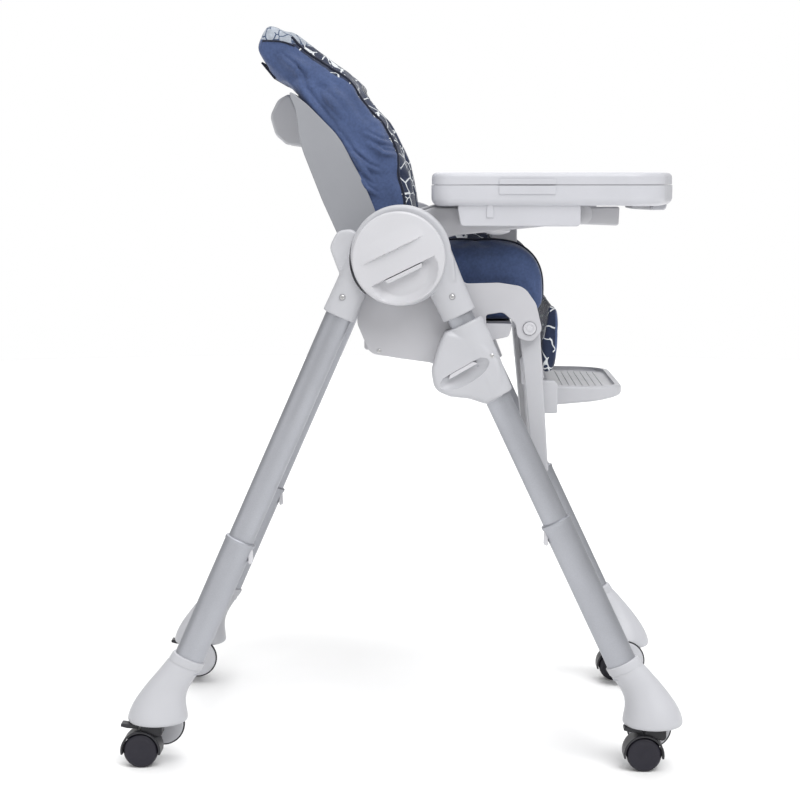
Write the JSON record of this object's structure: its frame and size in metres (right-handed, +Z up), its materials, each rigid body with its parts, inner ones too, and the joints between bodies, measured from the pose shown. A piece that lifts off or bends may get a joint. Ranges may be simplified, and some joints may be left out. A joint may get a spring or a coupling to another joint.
{
  "type": "baby high chair",
  "caption": "Folding baby high chair on castors with a reclining padded back, height-adjustable seat, sliding tray, leg rest and footrest.",
  "frame": {"origin": "centre of the bounding box on the floor, under the wheels", "axes": "+Z up, the child faces -Y, +X is the child's left"},
  "size_m": [0.546, 0.8135, 1.0652],
  "materials": {
    "silver_tube": "satin silver paint",
    "light_plastic": "fine moulded texture",
    "grey_plastic": "fine moulded texture",
    "lever_plastic": "fine moulded texture",
    "black_plastic": "moulded",
    "castor_tyre": "smooth",
    "navy_fabric": "woven, with a fine white line pattern on the front"
  },
  "bodies": {
    "front_frame": {"front_upper_tube_left": "silver_tube", "front_lower_leg_left": "silver_tube", "front_foot_left": "light_plastic", "front_hub_left": "light_plastic", "front_upper_tube_right": "silver_tube", "front_lower_leg_right": "silver_tube", "front_foot_right": "light_plastic", "front_hub_right": "light_plastic", "front_crossbar": "silver_tube", "hub_cover_left": "light_plastic", "hub_cover_right": "light_plastic"},
    "rear_frame": {"rear_upper_tube_left": "silver_tube", "rear_lower_leg_left": "silver_tube", "rear_foot_left": "light_plastic", "rear_hub_left": "light_plastic", "rear_upper_tube_right": "silver_tube", "rear_lower_leg_right": "silver_tube", "rear_foot_right": "light_plastic", "rear_hub_right": "light_plastic", "rear_crossbar": "silver_tube"},
    "seat": {"seat_shell": "grey_plastic", "seat_cushion": "navy_fabric", "crotch_post": "light_plastic", "harness_buckle": "black_plastic", "armrest_left": "grey_plastic", "armrest_right": "grey_plastic", "height_slider_left": "light_plastic", "height_slider_right": "light_plastic"},
    "backrest": {"backrest_shell": "grey_plastic", "backrest_cushion": "navy_fabric"},
    "recline_handle": {"recline_handle": "light_plastic"},
    "tray": {"tray_base": "light_plastic"},
    "tray_cover": {"tray_cover": "light_plastic"},
    "tray_lever": {"tray_lever": "lever_plastic"},
    "legrest": {"legrest_frame": "light_plastic", "legrest_pad": "navy_fabric"},
    "footrest": {"footrest": "light_plastic"},
    "fold_lever_left": {"fold_lever_left": "lever_plastic"},
    "height_lever_left": {"height_lever_left": "lever_plastic"},
    "legrest_button_left": {"legrest_button_left": "light_plastic"},
    "fold_lever_right": {"fold_lever_right": "lever_plastic"},
    "height_lever_right": {"height_lever_right": "lever_plastic"},
    "legrest_button_right": {"legrest_button_right": "light_plastic"},
    "castor_front_left": {"castor_housing_front_left": "black_plastic"},
    "wheels_front_left": {"castor_wheels_front_left": "castor_tyre"},
    "brake_front_left": {"brake_pedal_front_left": "black_plastic"},
    "castor_front_right": {"castor_housing_front_right": "black_plastic"},
    "wheels_front_right": {"castor_wheels_front_right": "castor_tyre"},
    "brake_front_right": {"brake_pedal_front_right": "black_plastic"},
    "castor_rear_left": {"castor_housing_rear_left": "black_plastic"},
    "wheels_rear_left": {"castor_wheels_rear_left": "castor_tyre"},
    "brake_rear_left": {"brake_pedal_rear_left": "black_plastic"},
    "castor_rear_right": {"castor_housing_rear_right": "black_plastic"},
    "wheels_rear_right": {"castor_wheels_rear_right": "castor_tyre"},
    "brake_rear_right": {"brake_pedal_rear_right": "black_plastic"}
  },
  "joints": [
    {"name": "fold", "type": "hinge", "parent": "front_frame", "child": "rear_frame", "pos_m": [0, 0.0055, 0.733], "axis": [-1, 0, 0], "range_deg": [0, 45]},
    {"name": "seat_height", "type": "slide", "parent": "front_frame", "child": "seat", "axis": [0, -0.4258, -0.9048], "range_m": [0, 0.18]},
    {"name": "recline", "type": "hinge", "parent": "seat", "child": "backrest", "pos_m": [0, 0.0355, 0.668], "axis": [-1, 0, 0], "range_deg": [0, 35]},
    {"name": "recline_handle_pull", "type": "slide", "parent": "backrest", "child": "recline_handle", "axis": [0, 0.1203, 0.9927], "range_m": [0, 0.008], "stiffness_N_per_m": 900, "springref_m": -0.004},
    {"name": "tray_slide", "type": "slide", "parent": "seat", "child": "tray", "axis": [0, -1, 0], "range_m": [0, 0.24]},
    {"name": "tray_cover_lift", "type": "slide", "parent": "tray", "child": "tray_cover", "axis": [0, 0, 1], "range_m": [0, 0.06]},
    {"name": "tray_lever_squeeze", "type": "hinge", "parent": "tray", "child": "tray_lever", "pos_m": [0, -0.3365, 0.8015], "axis": [-1, 0, 0], "range_deg": [0, 8], "stiffness_Nm_per_rad": 1.2, "springref_deg": -5.73},
    {"name": "legrest_lift", "type": "hinge", "parent": "seat", "child": "legrest", "pos_m": [0, -0.1785, 0.633], "axis": [-1, 0, 0], "range_deg": [0, 65]},
    {"name": "footrest_slide", "type": "slide", "parent": "legrest", "child": "footrest", "axis": [0, -0.0819, -0.9966], "range_m": [0, 0.06]},
    {"name": "fold_lever_pull_left", "type": "slide", "parent": "front_frame", "child": "fold_lever_left", "axis": [0, -0.4384, -0.8988], "range_m": [0, 0.008], "stiffness_N_per_m": 300, "springref_m": -0.002},
    {"name": "height_lever_squeeze_left", "type": "slide", "parent": "seat", "child": "height_lever_left", "axis": [0, 0.515, 0.8572], "range_m": [0, 0.0025], "stiffness_N_per_m": 300, "springref_m": -0.002},
    {"name": "legrest_button_press_left", "type": "slide", "parent": "seat", "child": "legrest_button_left", "axis": [-1, 0, 0], "range_m": [0, 0.0025], "stiffness_N_per_m": 300, "springref_m": -0.001},
    {"name": "fold_lever_pull_right", "type": "slide", "parent": "front_frame", "child": "fold_lever_right", "axis": [0, -0.4384, -0.8988], "range_m": [0, 0.008], "stiffness_N_per_m": 300, "springref_m": -0.002},
    {"name": "height_lever_squeeze_right", "type": "slide", "parent": "seat", "child": "height_lever_right", "axis": [0, 0.515, 0.8572], "range_m": [0, 0.0025], "stiffness_N_per_m": 300, "springref_m": -0.002},
    {"name": "legrest_button_press_right", "type": "slide", "parent": "seat", "child": "legrest_button_right", "axis": [1, 0, 0], "range_m": [0, 0.0025], "stiffness_N_per_m": 300, "springref_m": -0.001},
    {"name": "swivel_front_left", "type": "hinge", "parent": "front_frame", "child": "castor_front_left", "pos_m": [0.243, -0.3635, 0.07], "axis": [0, 0, 1], "continuous": true},
    {"name": "roll_front_left", "type": "hinge", "parent": "castor_front_left", "child": "wheels_front_left", "pos_m": [0.243, -0.3455, 0.025], "axis": [1, 0, 0], "continuous": true},
    {"name": "brake_front_left", "type": "hinge", "parent": "castor_front_left", "child": "brake_front_left", "pos_m": [0.243, -0.3395, 0.059], "axis": [-1, 0, 0], "range_deg": [0, 12]},
    {"name": "swivel_front_right", "type": "hinge", "parent": "front_frame", "child": "castor_front_right", "pos_m": [-0.243, -0.3635, 0.07], "axis": [0, 0, 1], "continuous": true},
    {"name": "roll_front_right", "type": "hinge", "parent": "castor_front_right", "child": "wheels_front_right", "pos_m": [-0.243, -0.3455, 0.025], "axis": [1, 0, 0], "continuous": true},
    {"name": "brake_front_right", "type": "hinge", "parent": "castor_front_right", "child": "brake_front_right", "pos_m": [-0.243, -0.3395, 0.059], "axis": [-1, 0, 0], "range_deg": [0, 12]},
    {"name": "swivel_rear_left", "type": "hinge", "parent": "rear_frame", "child": "castor_rear_left", "pos_m": [0.243, 0.3595, 0.07], "axis": [0, 0, 1], "continuous": true},
    {"name": "roll_rear_left", "type": "hinge", "parent": "castor_rear_left", "child": "wheels_rear_left", "pos_m": [0.243, 0.3775, 0.025], "axis": [1, 0, 0], "continuous": true},
    {"name": "brake_rear_left", "type": "hinge", "parent": "castor_rear_left", "child": "brake_rear_left", "pos_m": [0.243, 0.3835, 0.059], "axis": [-1, 0, 0], "range_deg": [0, 12]},
    {"name": "swivel_rear_right", "type": "hinge", "parent": "rear_frame", "child": "castor_rear_right", "pos_m": [-0.243, 0.3595, 0.07], "axis": [0, 0, 1], "continuous": true},
    {"name": "roll_rear_right", "type": "hinge", "parent": "castor_rear_right", "child": "wheels_rear_right", "pos_m": [-0.243, 0.3775, 0.025], "axis": [1, 0, 0], "continuous": true},
    {"name": "brake_rear_right", "type": "hinge", "parent": "castor_rear_right", "child": "brake_rear_right", "pos_m": [-0.243, 0.3835, 0.059], "axis": [-1, 0, 0], "range_deg": [0, 12]}
  ]
}
